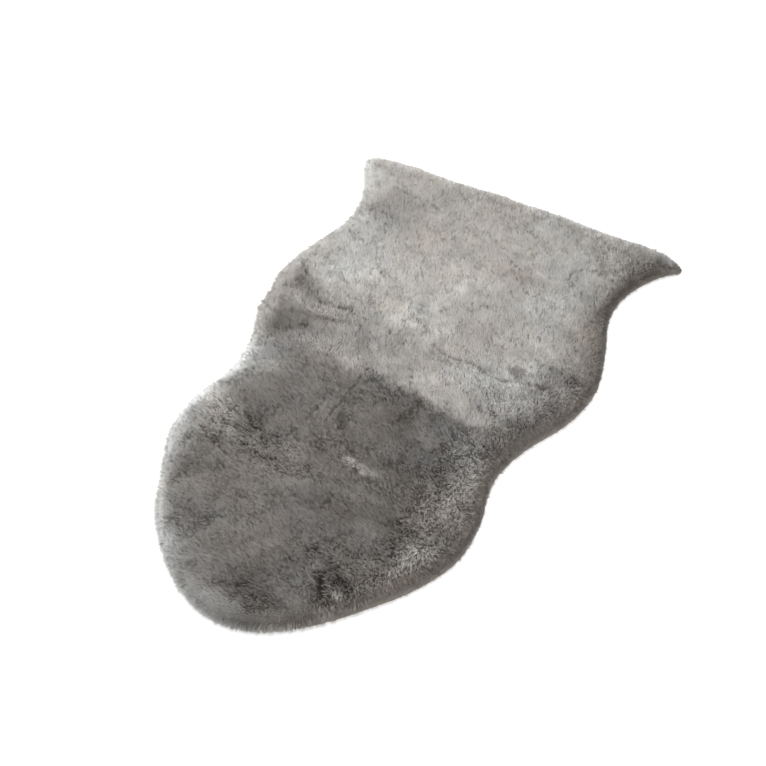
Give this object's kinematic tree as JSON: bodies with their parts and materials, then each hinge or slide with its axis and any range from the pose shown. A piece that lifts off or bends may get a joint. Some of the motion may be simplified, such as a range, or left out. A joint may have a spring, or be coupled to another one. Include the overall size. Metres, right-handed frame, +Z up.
{
  "type": "sheepskin rug",
  "caption": "Grey sheepskin rug with short thick wool, a round neck end, a narrow waist and a straight flared tail end, lying flat.",
  "frame": {"origin": "on the floor, under the middle of the rug's box", "axes": "+Z up through the wool, +Y along the skin from the round neck end to the straight tail end, +X to the right of the skin seen from above with the tail away"},
  "size_m": [0.5944, 0.9532, 0.0361],
  "materials": {
    "wool": "short dense shorn wool, matt with a soft nap",
    "hide": "pale napped suede underside"
  },
  "bodies": {
    "root": {"sheepskin": "wool"}
  },
  "joints": []
}
